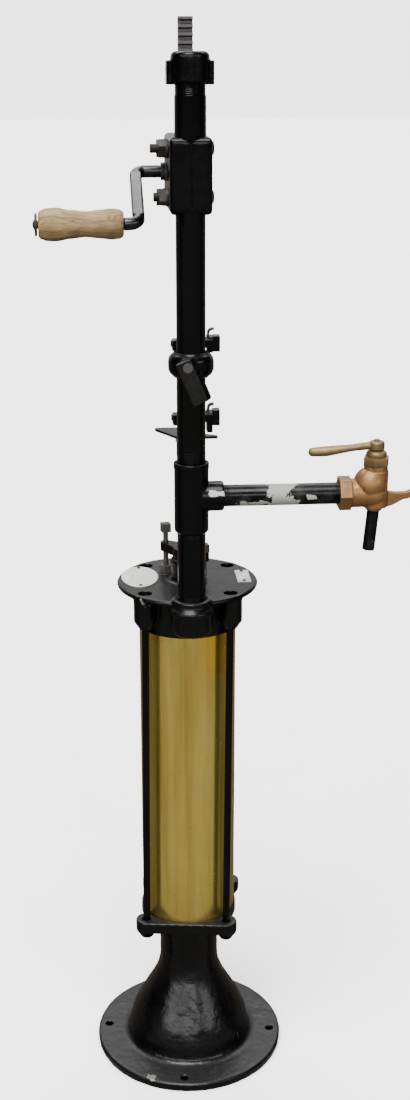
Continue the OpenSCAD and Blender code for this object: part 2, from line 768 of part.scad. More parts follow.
// One rack tooth's outline as [y, z] points about its centre height.
function rack_tooth(z) = [
  [rack_pitch_y + tooth_root, z - tooth_half - tooth_root * flank],
  [rack_pitch_y - tooth_tip, z - tooth_half + tooth_tip * flank],
  [rack_pitch_y - tooth_tip, z + tooth_half - tooth_tip * flank],
  [rack_pitch_y + tooth_root, z + tooth_half + tooth_root * flank]];

module rack() {
  first = ceil((arm_z[1] + 4 + tooth_pitch / 2 - crank_z) / tooth_pitch);
  last = floor((rack_top_z - crank_z) / tooth_pitch);
  color([0.08, 0.08, 0.085]) difference() {
    translate([-rack_x, 0, 0]) rotate([90, 0, 90]) linear_extrude(2 * rack_x) intersection() {
      polygon(concat(
        [[rack_pitch_y + tooth_root, rack_bottom_z]],
        [for (k = [first : last]) each rack_tooth(crank_z + k * tooth_pitch)],
        [[rack_pitch_y + tooth_root, rack_top_z + tooth_pitch], [rack_back_y, rack_top_z + tooth_pitch]],
        [[rack_back_y, rack_bottom_z]]));
      translate([-50, rack_bottom_z]) square([100, rack_top_z - rack_bottom_z]);
    }
    translate([0, 2, pin_z]) along_x(-20) cylinder(r = 2.5 + fit, h = 40);
  }
}

// Thin arm clamped to the rack's foot, with a pointer wing on the left.
module stop_arm() {
  color([0.07, 0.07, 0.075]) translate([0, 0, arm_z[0]]) linear_extrude(arm_z[1] - arm_z[0]) difference() {
    polygon(concat(
      [[35, -36], [35, -29], [15, -18], [13, 15], [-12, 15]],
      arc(-33, 9, 5.5, 95, 215, 6), [[-16, -32], [-9, -37]]));
    translate([-rack_x - 0.05, rack_pitch_y + tooth_root - 0.05])
      square([2 * rack_x + 0.1, rack_back_y - rack_pitch_y - tooth_root + 0.1]);
  }
}

module rod_coupling() {
  color([0.07, 0.07, 0.075]) difference() {
    union() {
      translate([0, 2, 0]) rod(coupling_r, 832, arm_z[0]);
      rod(coupling_r - 1, 820, 832);
    }
    translate([-rack_x - 0.05, rack_pitch_y + tooth_root - 0.05, rack_bottom_z])
      cube([2 * rack_x + 0.1, rack_back_y - rack_pitch_y - tooth_root + 0.1, 30]);
    rod(piston_rod_r + fit, 819, rack_bottom_z);
    translate([0, 2, pin_z]) along_x(-20) cylinder(r = 2.5 + fit, h = 40);
  }
}

module coupling_pin() {
  color([0.3, 0.3, 0.3]) translate([0, 2, pin_z]) along_x(-13.5) cylinder(r = 2.5, h = 27);
}

module piston_rod() {
  color([0.45, 0.45, 0.46]) {
    rod(piston_rod_r, piston_z[1] + 4, rack_bottom_z);
    rod(6, piston_z[0] - 6, piston_z[1] + 4);
  }
}

piston_ports = [for (a = [0 : 60 : 300]) a];

module piston_body() {
  color([0.5, 0.4, 0.22]) difference() {
    union() {
      rod(bore_r - 4.5, piston_z[0], piston_z[1]);
      rod(bore_r - 1, piston_z[1], piston_z[1] + 4);
    }
    rod(6 + fit, piston_z[0] - 1, piston_z[1] + 5);
    for (a = piston_ports) rotate(a) translate([24, 0, 0]) rod(6, piston_z[0] - 1, piston_z[1] + 5);
  }
}

module piston_cup() {
  color([0.28, 0.18, 0.1]) tube(bore_r - 0.1, bore_r - 4.5 + fit, piston_z[0] + 2, piston_z[1] - 0.1);
}

module piston_nut() {
  color([0.5, 0.42, 0.25]) difference() {
    translate([0, 0, piston_z[0] - 6]) cylinder(r = 11, h = 6, $fn = 6);
    rod(6 + fit, piston_z[0] - 7, piston_z[0] + 1);
  }
}

module piston_valve() {
  color([0.65, 0.52, 0.28]) tube(33, piston_rod_r + 0.3, piston_z[1] + 4.3, piston_z[1] + 8);
}

// ---- pinion, crank and grip ----

base_circle_r = pitch_r * cos(pressure_angle);
pinion_tip_r = pitch_r + tooth_tip;
pinion_root_r = pitch_r - tooth_root;
pinion_half_deg = (tooth_pitch / 4 - tooth_slack / 2) / pitch_r * 180 / PI;

function roll_deg(r) = sqrt(max(0, pow(r / base_circle_r, 2) - 1)) * 180 / PI;
function involute_deg(r) = roll_deg(r) - acos(min(1, base_circle_r / r));
function flank_deg(r) = pinion_half_deg + involute_deg(pitch_r) - involute_deg(max(r, base_circle_r));

// One pinion tooth about angle c: up one flank and down the other.
function pinion_tooth(c) =
  let (radii = [for (i = [0 : 5]) pinion_root_r + (pinion_tip_r - pinion_root_r) * i / 5])
  concat([for (r = radii) r * [cos(c - flank_deg(r)), sin(c - flank_deg(r))]],
         [for (i = [5 : -1 : 0]) let (r = radii[i]) r * [cos(c + flank_deg(r)), sin(c + flank_deg(r))]]);

// The gear plane's first axis is +Y and its second +Z, and a tooth space faces the rack.
module pinion() {
  color([0.2, 0.2, 0.21]) translate([0, pinion_y, crank_z]) rotate([90, 0, 90]) difference() {
    translate([0, 0, -9]) linear_extrude(18)
      polygon([for (k = [0 : pinion_teeth - 1]) each pinion_tooth((k + 0.5) * 360 / pinion_teeth)]);
    translate([0, 0, -10]) cylinder(r = 7 + fit, h = 20);
  }
}

module crank_collar() {
  color([0.08, 0.08, 0.085]) translate([0, pinion_y, crank_z]) difference() {
    union() {
      along_x(-case_x - 2.4) cylinder(r = 11, h = 2.1);
      along_x(-case_x - 6.5) cylinder(r = 9.8, h = 4.3);
    }
    along_x(-case_x - 7) cylinder(r = 7 + fit, h = 8);
  }
}

// Bar bent twice: shaft, arm and grip pin, drawn with the arm along -Z.
module crank() {
  bend_r = 11;
  color([0.06, 0.06, 0.065]) translate([0, pinion_y, crank_z]) rotate([crank_droop - 90, 0, 0]) {
    along_x(arm_x + bend_r) cylinder(r = 7, h = case_x - 3 - arm_x - bend_r);
    translate([arm_x + bend_r, 0, -bend_r]) rotate([90, 0, 0]) rotate(90)
      rotate_extrude(angle = 90) translate([bend_r, 0]) circle(r = 6.9);
    translate([arm_x, 0, -crank_throw + bend_r]) linear_extrude(crank_throw - 2 * bend_r)
      rounded_area([-crank_bar_r, -crank_bar_r], [crank_bar_r, crank_bar_r], 2.6);
    translate([arm_x - bend_r, 0, -crank_throw + bend_r]) rotate([90, 0, 0]) rotate(-90)
      rotate_extrude(angle = 90) translate([bend_r, 0]) circle(r = 6.9);
    translate([0, 0, -crank_throw]) {
      along_x(grip_x[0] + 1) cylinder(r = 7, h = arm_x - bend_r - grip_x[0] - 1);
      along_x(grip_x[1] - 1) cylinder(r = 4.5, h = grip_x[0] - grip_x[1] + 2);
    }
  }
}

// Places its child at the grip's axis, which runs along X.
module at_grip() {
  translate([0, pinion_y, crank_z]) rotate([crank_droop - 90, 0, 0]) translate([0, 0, -crank_throw]) children();
}

module grip_rivet() {
  color([0.3, 0.26, 0.2]) at_grip() {
    along_x(grip_x[1] - 3.4) cylinder(r = 12, h = 2.4);
    translate([grip_x[1] - 3.4, 0, 0]) rotate([0, -90, 0])
      rotate_extrude() polygon(concat([[0, 0], [6, 0]], arc(0, -6, 8.5, 45, 90, 4)));
  }
}

grip_stations = [[0, 13.8], [3, 15.2], [12, 16.3], [40, 13.3], [74, 18], [86, 16.6], [91, 13.6]];

module grip() {
  color([0.63, 0.47, 0.27]) at_grip() translate([grip_x[0], 0, 0]) rotate([0, -90, 0]) difference() {
    rotate_extrude() polygon(concat([[0, 0]], eased_outline(grip_stations, 5), [[13.6, 90.8], [0, 90.8]]));
    translate([0, 0, -1]) cylinder(r = 4.6, h = 94);
    translate([0, 0, -1]) cylinder(r = 12.2, h = 4);
  }
}

module grip_ferrule() {
  color([0.2, 0.17, 0.13]) at_grip() along_x(grip_x[0] - 2.7) difference() {
    cylinder(r = 12.1, h = 3.4);
    translate([0, 0, -1]) cylinder(r = 4.6, h = 6);
  }
}

pedestal_base();
foot_valve_seat();
foot_valve();
base_gasket();
barrel();
head_gasket();
cylinder_head();
tie_rods();
tie_rod_nuts();
gland_packing();
gland();
gland_bolts();
gland_lock_nut();
oval_nameplate();
square_nameplate();
nameplate_screws();
riser_pipe();
tee();
column_plug();
column_pipe();
discharge_pipe();
faucet_body();
faucet_bonnet();
faucet_packing_nut();
spout_pipe();
faucet_plug();
faucet_handle();
handle_screw();
gear_case_left();
gear_case_right();
gear_case_bolts();
gear_case_nuts();
rack_roller();
roller_pin();
top_cap();
cap_set_screws();
clamp_collar();
lever_pin();
clamp_lever();
upper_stop_bracket();
lower_stop_bracket();
upper_stop_spring();
lower_stop_spring();
upper_stop();
lower_stop();
rack();
stop_arm();
rod_coupling();
coupling_pin();
piston_rod();
piston_body();
piston_cup();
piston_nut();
piston_valve();
pinion();
crank_collar();
crank();
grip_rivet();
grip();
grip_ferrule();
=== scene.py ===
import json
import math
import random

import bmesh
import bpy
from mathutils import Matrix, Vector

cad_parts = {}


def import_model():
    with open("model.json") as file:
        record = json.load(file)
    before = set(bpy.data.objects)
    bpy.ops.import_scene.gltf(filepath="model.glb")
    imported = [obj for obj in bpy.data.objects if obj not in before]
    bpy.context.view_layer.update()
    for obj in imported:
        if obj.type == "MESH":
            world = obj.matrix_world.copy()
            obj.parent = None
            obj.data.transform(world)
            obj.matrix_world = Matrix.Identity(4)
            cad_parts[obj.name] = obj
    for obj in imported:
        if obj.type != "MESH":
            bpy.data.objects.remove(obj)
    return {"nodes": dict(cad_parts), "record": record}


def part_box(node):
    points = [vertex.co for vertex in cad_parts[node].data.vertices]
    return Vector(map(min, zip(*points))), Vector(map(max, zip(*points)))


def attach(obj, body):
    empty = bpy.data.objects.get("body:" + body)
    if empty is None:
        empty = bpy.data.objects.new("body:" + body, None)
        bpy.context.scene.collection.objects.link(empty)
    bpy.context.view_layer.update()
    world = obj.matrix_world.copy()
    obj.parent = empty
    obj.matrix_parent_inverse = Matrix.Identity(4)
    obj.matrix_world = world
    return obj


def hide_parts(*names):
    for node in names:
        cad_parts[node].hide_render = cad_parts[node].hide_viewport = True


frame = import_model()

MM = 0.001
SKY = 3.45
WINDOW_POWER = 11
STRIP_POWER = 8
TURN = 2 * math.pi

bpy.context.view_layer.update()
nodes = frame["nodes"]
record = frame["record"]
body_of_node = {n: body for body, names in record["behaviour"]["bodies"].items() for n in names}


# ---------------------------------------------------------------- materials

class Shade:
    """One material being built: short calls that add a node and return its output."""

    def __init__(self, name):
        self.mat = bpy.data.materials.new(name)
        self.mat.use_nodes = True
        self.tree = self.mat.node_tree
        self.tree.nodes.clear()
        self.shader = self.tree.nodes.new("ShaderNodeBsdfPrincipled")
        out = self.tree.nodes.new("ShaderNodeOutputMaterial")
        self.tree.links.new(self.shader.outputs["BSDF"], out.inputs["Surface"])
        self.place = self.tree.nodes.new("ShaderNodeTexCoord").outputs["Object"]

    def put(self, socket, value):
        if isinstance(value, bpy.types.NodeSocket):
            self.tree.links.new(value, socket)
        elif isinstance(value, (tuple, list)) and len(socket.default_value) == 4:
            socket.default_value = (*value[:3], 1)
        else:
            socket.default_value = value

    def stretched(self, scale, shift=(0, 0, 0)):
        node = self.tree.nodes.new("ShaderNodeMapping")
        self.put(node.inputs["Vector"], self.place)
        node.inputs["Scale"].default_value = scale
        node.inputs["Location"].default_value = shift
        return node.outputs["Vector"]

    def noise(self, scale, detail=4, rough=0.55, at=None, warp=0.0):
        node = self.tree.nodes.new("ShaderNodeTexNoise")
        self.put(node.inputs["Vector"], at or self.place)
        node.inputs["Scale"].default_value = scale
        node.inputs["Detail"].default_value = detail
        node.inputs["Roughness"].default_value = rough
        node.inputs["Distortion"].default_value = warp
        return node.outputs["Fac"]

    def cells(self, scale, at=None, feature="F1"):
        node = self.tree.nodes.new("ShaderNodeTexVoronoi")
        node.feature = feature
        self.put(node.inputs["Vector"], at or self.place)
        node.inputs["Scale"].default_value = scale
        return node.outputs["Distance"]

    def ramp(self, value, *stops):
        """Maps a value through (position, colour or grey) stops."""
        node = self.tree.nodes.new("ShaderNodeValToRGB")
        self.put(node.inputs["Fac"], value)
        band = node.color_ramp
        while len(band.elements) < len(stops):
            band.elements.new(0.5)
        for element, (at, colour) in zip(band.elements, stops):
            element.position = at
            grey = isinstance(colour, (int, float))
            element.color = (colour, colour, colour, 1) if grey else (*colour, 1)
        return node.outputs["Color"]

    def mix(self, factor, a, b, kind="MIX"):
        node = self.tree.nodes.new("ShaderNodeMix")
        node.data_type = "RGBA"
        node.blend_type = kind
        self.put(node.inputs["Factor"], factor)
        self.put(node.inputs["A"], a)
        self.put(node.inputs["B"], b)
        return next(o for o in node.outputs if o.type == "RGBA")

    def math(self, kind, a, b=0.0, clamp=False):
        node = self.tree.nodes.new("ShaderNodeMath")
        node.operation = kind
        node.use_clamp = clamp
        self.put(node.inputs[0], a)
        self.put(node.inputs[1], b)
        return node.outputs[0]

    def axis(self, index, source=None):
        node = self.tree.nodes.new("ShaderNodeSeparateXYZ")
        self.put(node.inputs[0], source or self.place)
        return node.outputs[index]

    def geometry(self, name):
        return self.tree.nodes.new("ShaderNodeNewGeometry").outputs[name]

    def upward(self, low=0.6, high=0.95):
        """1 where the surface faces up."""
        return self.ramp(self.axis(2, self.geometry("Normal")), (low, 0), (high, 1))

    def edges(self, low, high):
        """1 on outer edges and corners."""
        return self.ramp(self.geometry("Pointiness"), (low, 0), (high, 1))

    def patch(self, centre, half, at, ragged=1.1):
        """1 inside a box given in millimetres, with a ragged outline."""
        around_zero = self.math("SUBTRACT", self.noise(75, 5, 0.6, at, 0.5), 0.5)
        rough_edge = reach = self.math("MULTIPLY", around_zero, ragged * 3)
        for index in range(3):
            off = self.math("SUBTRACT", self.axis(index), centre[index] * MM)
            span = self.math("DIVIDE", self.math("ABSOLUTE", off), half[index] * MM)
            reach = self.math("MAXIMUM", reach, self.math("ADD", span, rough_edge))
        return self.math("LESS_THAN", reach, 1.0)

    def bump(self, height, strength, distance, after=None):
        node = self.tree.nodes.new("ShaderNodeBump")
        self.put(node.inputs["Height"], height)
        node.inputs["Strength"].default_value = strength
        node.inputs["Distance"].default_value = distance
        if after:
            self.put(node.inputs["Normal"], after)
        return node.outputs["Normal"]

    def done(self, **sockets):
        for name, value in sockets.items():
            self.put(self.shader.inputs[name.replace("_", " ")], value)
        return self.mat


IRON = (0.12, 0.115, 0.1)
COAT_DARK = (0.0006, 0.0006, 0.0008)
COAT_LIGHT = (0.0014, 0.0013, 0.0015)
DUST = (0.012, 0.0112, 0.0116)


def enamel(name, wear=0.5, dust=0.0, chip=IRON, chip_at=0.7, chip_scale=45, gloss=0.2, grain=1.0, uneven=1.0,
           shine=0.12, seed=0.0, bare_areas=()):
    """Brushed-on black enamel over iron, with chips, rubbed edges and dust lying on level faces.

    Each bare area is (centre, half size) in millimetres: a ragged patch where the enamel has gone."""
    s = Shade(name)
    at = s.stretched((1, 1, 1), (seed, seed * 0.7, -seed))
    coat = s.ramp(s.noise(22, 5, 0.6, at), (0.35, COAT_DARK), (0.7, COAT_LIGHT))
    chips = s.ramp(s.noise(chip_scale, 6, 0.62, at, 0.4), (chip_at, 0), (chip_at + 0.01, 1))
    for centre, half in bare_areas:
        chips = s.math("MAXIMUM", chips, s.patch(centre, half, at))
    here_and_there = s.ramp(s.noise(60, 4, 0.6, at), (0.48, 0), (0.66, wear))
    rub = s.math("MULTIPLY", s.edges(0.54, 0.62), here_and_there, True)
    bare = s.mix(s.noise(180, 4, 0.6, at), chip, tuple(c * 0.7 for c in chip))
    colour = s.mix(s.math("MAXIMUM", chips, s.math("MULTIPLY", rub, 0.35)), coat, bare)
    cover = s.ramp(s.noise(14, 6, 0.65, at), (0.3, dust * 0.45), (0.75, dust))
    film = s.math("MULTIPLY", s.upward(), cover, True)
    colour = s.mix(film, colour, DUST)
    smoothest, roughest = gloss * (1 - 0.25 * uneven), gloss * (1 + 0.6 * uneven)
    rough = s.ramp(s.noise(35, 5, 0.6, at), (0.3, smoothest), (0.75, roughest))
    rough = s.mix(s.math("MAXIMUM", chips, s.math("MULTIPLY", film, 0.6)), rough, (0.6, 0.6, 0.6))
    orange_peel = s.bump(s.noise(150, 3, 0.5, at), 0.16 * grain, 0.0008)
    cast = s.bump(s.noise(38, 4, 0.5, at), 0.25 * grain, 0.0012, orange_peel)
    normal = s.bump(s.math("SUBTRACT", 1.0, chips), 0.5, 0.0004, cast)
    return s.done(Base_Color=colour, Roughness=rough, Normal=normal, Specular_IOR_Level=shine)


def aged_brass(name, bright, dull, grime_and_shade, rough=0.4, seed=0.0):
    """Cast bronze or brass that has dulled, with bright rubbed edges, patchy grime, and dark corners that are
    painted shade.
    """
    s = Shade(name)
    at = s.stretched((1, 1, 1), (seed, -seed, seed))
    base = s.mix(s.ramp(s.noise(28, 6, 0.62, at), (0.32, 0), (0.68, 1)), dull, bright)
    base = s.mix(s.ramp(s.noise(150, 4, 0.6, at), (0.56, 0), (0.72, 0.55)), base, grime_and_shade)
    base = s.mix(s.edges(0.52, 0.6), base, tuple(min(1, c * 1.25) for c in bright))
    # Painted shade: inner corners (low pointiness) are darkened towards the grime colour.
    base = s.mix(s.ramp(s.geometry("Pointiness"), (0.40, 0.85), (0.49, 0)), base, grime_and_shade)
    roughness = s.ramp(s.noise(60, 5, 0.6, at), (0.3, rough * 0.75), (0.75, rough * 1.45))
    normal = s.bump(s.noise(320, 3, 0.6, at), 0.3, 0.0004, s.bump(s.noise(55, 4, 0.5, at), 0.3, 0.0008))
    return s.done(Base_Color=base, Roughness=roughness, Metallic=0.6, Normal=normal)


def raw_steel(name, light, dark, rust=(0.11, 0.055, 0.03), rust_at=0.55, rough=0.5, metal=0.3, shine=0.1,
              seed=0.0):
    s = Shade(name)
    at = s.stretched((1, 1, 1), (seed, seed, -seed))
    base = s.mix(s.ramp(s.noise(90, 5, 0.6, at), (0.35, 0), (0.65, 1)), dark, light)
    spots = s.ramp(s.noise(160, 6, 0.65, at, 0.3), (rust_at, 0), (rust_at + 0.12, 0.85))
    base = s.mix(spots, base, rust)
    base = s.mix(s.edges(0.52, 0.6), base, tuple(min(1, c * 2.2) for c in light))
    roughness = s.ramp(s.noise(70, 4, 0.6, at), (0.3, rough * 0.7), (0.75, rough * 1.3))
    roughness = s.mix(spots, roughness, (0.85, 0.85, 0.85))
    metallic = s.mix(spots, (metal, metal, metal), (0.1, 0.1, 0.1))
    normal = s.bump(s.noise(260, 4, 0.6, at), 0.4, 0.0004)
    return s.done(Base_Color=base, Roughness=roughness, Metallic=metallic, Normal=normal,
                  Specular_IOR_Level=shine)


def barrel_brass():
    """Lacquered brass tube: soft streaks down its length, small dark blemishes, and one orange stain."""
    s = Shade("barrel_brass_mottled")
    long_way = s.stretched((1, 1, 0.045))
    streak = s.noise(90, 5, 0.6, long_way)
    cloud = s.noise(16, 5, 0.6, s.stretched((1, 1, 0.35), (0.4, 0, 0)))
    base = s.ramp(streak, (0.3, (0.40, 0.305, 0.060)), (0.5, (0.54, 0.43, 0.096)),
                  (0.72, (0.64, 0.535, 0.14)))
    base = s.mix(s.ramp(cloud, (0.42, 0), (0.7, 0.55)), base, (0.55, 0.35, 0.10))
    green = s.ramp(s.noise(24, 4, 0.6, s.stretched((1, 1, 0.2), (3, 1, 0))), (0.52, 0), (0.72, 0.4))
    base = s.mix(green, base, (0.50, 0.50, 0.15))
    x, z = s.axis(0), s.axis(2)
    high = s.ramp(z, (0.55, 0), (0.585, 1))
    right = s.ramp(x, (0.008, 0), (0.026, 1), (0.036, 1), (0.044, 0))
    blotch = s.ramp(s.noise(60, 4, 0.6), (0.35, 0.25), (0.6, 1))
    stain = s.math("MULTIPLY", s.math("MULTIPLY", high, right), blotch, True)
    base = s.mix(s.math("MULTIPLY", stain, 0.8), base, (0.72, 0.40, 0.015))
    brown_low = s.ramp(z, (0.218, 0.55), (0.30, 0))
    base = s.mix(s.math("MULTIPLY", brown_low, s.noise(40), True), base, (0.34, 0.17, 0.05))
    spot_size = s.ramp(s.noise(35), (0.45, 0.02), (0.75, 0.22))
    spots = s.math("LESS_THAN", s.cells(160, s.stretched((1, 1, 0.7))), spot_size)
    spots = s.math("MULTIPLY", spots, s.ramp(s.noise(70, 3), (0.5, 0), (0.62, 0.8)), True)
    base = s.mix(spots, base, (0.12, 0.065, 0.02))
    rough = s.ramp(s.noise(50, 5, 0.6, long_way), (0.3, 0.17), (0.75, 0.34))
    rough = s.mix(spots, rough, (0.7, 0.7, 0.7))
    drawn = s.bump(s.noise(700, 3, 0.6, s.stretched((1, 1, 0.02))), 0.12, 0.0002)
    normal = s.bump(s.noise(45, 2, 0.5, s.stretched((1, 1, 0.25))), 0.2, 0.0012, drawn)
    return s.done(Base_Color=base, Roughness=rough, Metallic=0.95, Normal=normal)


def weathered_wood():
    """Bare, greyed hardwood with its grain along the grip."""
    s = Shade("wood_grip_weathered")
    grain = s.noise(150, 6, 0.7, s.stretched((0.06, 1, 1)), 0.6)
    bands = s.noise(38, 4, 0.6, s.stretched((0.12, 1, 1), (0.3, 0.1, 0)), 1.2)
    base = s.ramp(bands, (0.3, (0.11, 0.064, 0.025)), (0.5, (0.23, 0.145, 0.060)),
                  (0.72, (0.33, 0.225, 0.100)))
    base = s.mix(s.ramp(grain, (0.48, 0), (0.64, 0.85)), base, (0.085, 0.05, 0.024))
    grey = s.ramp(s.noise(26, 5, 0.6), (0.42, 0), (0.68, 0.5))
    base = s.mix(grey, base, (0.20, 0.152, 0.09))
    fine = s.noise(620, 4, 0.7, s.stretched((0.06, 1, 1), (1.3, 0, 0)))
    base = s.mix(s.ramp(fine, (0.48, 0), (0.62, 0.55)), base, (0.075, 0.044, 0.020))
    dirt = s.ramp(s.noise(32, 5, 0.65, s.stretched((0.5, 1, 1), (5, 2, 0))), (0.52, 0), (0.66, 0.6))
    base = s.mix(dirt, base, (0.07, 0.042, 0.020))
    lines = s.noise(90, 2, 0.5, s.stretched((0.04, 1, 1), (2, 0.6, 0.3)), 0.3)
    crack = s.ramp(lines, (0.485, 0), (0.5, 1), (0.515, 0))
    base = s.mix(s.math("MULTIPLY", crack, 0.6), base, (0.05, 0.03, 0.018))
    depth = s.math("SUBTRACT", grain, s.math("MULTIPLY", crack, 0.9))
    normal = s.bump(depth, 0.5, 0.0009)
    rough = s.ramp(s.noise(60), (0.3, 0.5), (0.7, 0.75))
    return s.done(Base_Color=base, Roughness=rough, Normal=normal, Specular_IOR_Level=0.25)


def plate_metal():
    """Blank aluminium plate, dulled and lightly scratched, with dirt left in its hollows."""
    s = Shade("nameplate_dull")
    base = s.ramp(s.noise(45, 6, 0.65), (0.3, (0.36, 0.35, 0.31)), (0.7, (0.58, 0.575, 0.54)))
    scratch = s.ramp(s.noise(420, 3, 0.6, s.stretched((1, 0.08, 1))), (0.52, 0), (0.7, 0.4))
    base = s.mix(scratch, base, (0.28, 0.27, 0.24))
    dirt = s.ramp(s.noise(120, 5, 0.65, s.stretched((1, 1, 1), (2, 0, 0))), (0.6, 0), (0.7, 0.5))
    base = s.mix(dirt, base, (0.2, 0.17, 0.12))
    rough = s.ramp(s.noise(60), (0.3, 0.38), (0.7, 0.6))
    normal = s.bump(s.noise(300), 0.25, 0.0003)
    return s.done(Base_Color=base, Roughness=rough, Metallic=0.55, Normal=normal)


def soft_brown(name, light, dark, seed):
    s = Shade(name)
    base = s.ramp(s.noise(80, 5, 0.6, s.stretched((1, 1, 1), (seed, 0, 0))), (0.3, dark), (0.7, light))
    rough = s.ramp(s.noise(90), (0.3, 0.55), (0.7, 0.85))
    return s.done(Base_Color=base, Roughness=rough, Normal=s.bump(s.noise(400), 0.4, 0.0003))


PALE_METAL = (0.3, 0.29, 0.27)

mats = {
    "casting": enamel("enamel_casting", wear=0.45, dust=0.25, gloss=0.2, seed=0.3),
    "pedestal": enamel("enamel_pedestal", wear=0.8, dust=0.75, gloss=0.24, grain=3.2, shine=0.18,
                       chip=(0.2, 0.19, 0.17), seed=1.7, bare_areas=[((-62, -111, 15), (9, 9, 4))]),
    "head": enamel("enamel_head", wear=0.5, dust=0.6, gloss=0.24, grain=0.6, shine=0.16, seed=2.9),
    "tee": enamel("enamel_tee", wear=0.4, dust=0.1, gloss=0.2, grain=0.7, chip=(0.4, 0.4, 0.38), seed=3.6,
                  bare_areas=[((29.5, -96, 813), (8.5, 7, 3.0))]),
    "pipe": enamel("enamel_pipe", wear=0.0, gloss=0.16, grain=0.15, uneven=0.2, seed=4.2),
    "chipped": enamel("enamel_discharge_pipe", wear=0.15, dust=0.2, gloss=0.24, grain=0.4,
                      chip=(0.25, 0.25, 0.225), chip_at=0.69, chip_scale=38, seed=6.35,
                      bare_areas=[((105, -90, 807), (16, 14, 20)), ((80, -96, 798), (19, 9, 3.8)),
                                  ((119, -96, 799), (7, 9, 3)), ((143, -96, 805), (5, 6, 2.4))]),
    "spout": enamel("enamel_spout", wear=0.1, gloss=0.3, grain=0.5, chip=PALE_METAL, chip_at=0.68,
                    chip_scale=90, seed=8.1),
    "bar": enamel("enamel_crank", wear=0.8, dust=0.2, gloss=0.24, grain=0.7, shine=0.33, chip=PALE_METAL,
                  chip_at=0.69, seed=5.3),
    "brass": barrel_brass(),
    "bronze": aged_brass("bronze_body_aged", (0.185, 0.094, 0.032), (0.118, 0.057, 0.020),
                         (0.035, 0.018, 0.010), 0.42, 0.2),
    "yellow": aged_brass("bronze_lever_aged", (0.145, 0.098, 0.039), (0.098, 0.063, 0.024),
                         (0.032, 0.021, 0.010), 0.42, 3.1),
    "inner": aged_brass("bronze_inner", (0.6, 0.45, 0.2), (0.42, 0.3, 0.13), (0.15, 0.1, 0.05), 0.3, 5.0),
    "nut": raw_steel("steel_nut", (0.014, 0.012, 0.0105), (0.004, 0.0035, 0.003),
                     rust=(0.012, 0.008, 0.006), seed=1.0),
    "bolt": raw_steel("steel_bolt_black", (0.02, 0.019, 0.018), (0.006, 0.0055, 0.0055), rust_at=0.66,
                     seed=2.0),
    "rack": raw_steel("steel_rack", (0.03, 0.029, 0.029), (0.006, 0.0058, 0.006), rust_at=0.7, rough=0.36,
                      metal=0.3, shine=0.12, seed=3.0),
    "rod": raw_steel("steel_rod_bright", (0.32, 0.31, 0.30), (0.18, 0.175, 0.165), rust_at=0.68, rough=0.26,
                     metal=0.85, shine=0.5, seed=4.0),
    "wood": weathered_wood(),
    "plate": plate_metal(),
    "leather": soft_brown("leather_oiled", (0.2, 0.11, 0.06), (0.08, 0.045, 0.025), 1.0),
    "packing": soft_brown("packing_greased", (0.33, 0.28, 0.19), (0.16, 0.13, 0.08), 2.0),
}

# Nodes that aren't listed here have the "casting" look.
look_of = {node: look for look, names in {
    "pedestal": "pedestal_base",
    "head": "cylinder_head",
    "brass": "barrel",
    "pipe": "tie_rods riser_pipe column_pipe",
    "tee": "tee",
    "chipped": "discharge_pipe",
    "spout": "spout_pipe",
    "bronze": "faucet_body",
    "yellow": "faucet_bonnet faucet_packing_nut faucet_plug faucet_handle handle_screw",
    "inner": "foot_valve_seat foot_valve piston_body piston_nut piston_valve",
    "leather": "piston_cup base_gasket head_gasket",
    "packing": "gland_packing",
    "wood": "grip",
    "plate": "oval_nameplate square_nameplate",
    "bar": "crank clamp_lever",
    "rack": "rack pinion",
    "rod": "piston_rod rack_roller roller_pin coupling_pin",
    "bolt": "tie_rod_nuts gland_bolts gland_lock_nut lever_pin cap_set_screws crank_collar column_plug"
            " upper_stop_spring lower_stop_spring",
    "nut": "gear_case_bolts gear_case_nuts grip_rivet grip_ferrule nameplate_screws",
}.items() for node in names.split()}


# ---------------------------------------------------------------- pieces

def finish_piece(obj, node, look, replaced=()):
    """Gives a new piece its material and slot, and lets it ride with the body of its CAD node."""
    obj.data.materials.clear()
    obj.data.materials.append(mats[look])
    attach(obj, body_of_node[node])
    if replaced:
        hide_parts(*replaced)
    return obj


def mesh_object(name, bm):
    bmesh.ops.recalc_face_normals(bm, faces=bm.faces)
    mesh = bpy.data.meshes.new(name)
    bm.to_mesh(mesh)
    bm.free()
    obj = bpy.data.objects.new(name, mesh)
    bpy.context.collection.objects.link(obj)
    return obj


def apply_modifiers(obj):
    """Replaces the object's mesh by its evaluated one."""
    bpy.context.view_layer.update()
    evaluated = obj.evaluated_get(bpy.context.evaluated_depsgraph_get())
    mesh = bpy.data.meshes.new_from_object(evaluated)
    old = obj.data
    obj.modifiers.clear()
    obj.data = mesh
    bpy.data.meshes.remove(old)


def shade_smooth(obj, angle=None):
    obj.data.polygons.foreach_set("use_smooth", [True] * len(obj.data.polygons))
    if angle:
        obj.data.set_sharp_from_angle(angle=math.radians(angle))
    obj.data.update()


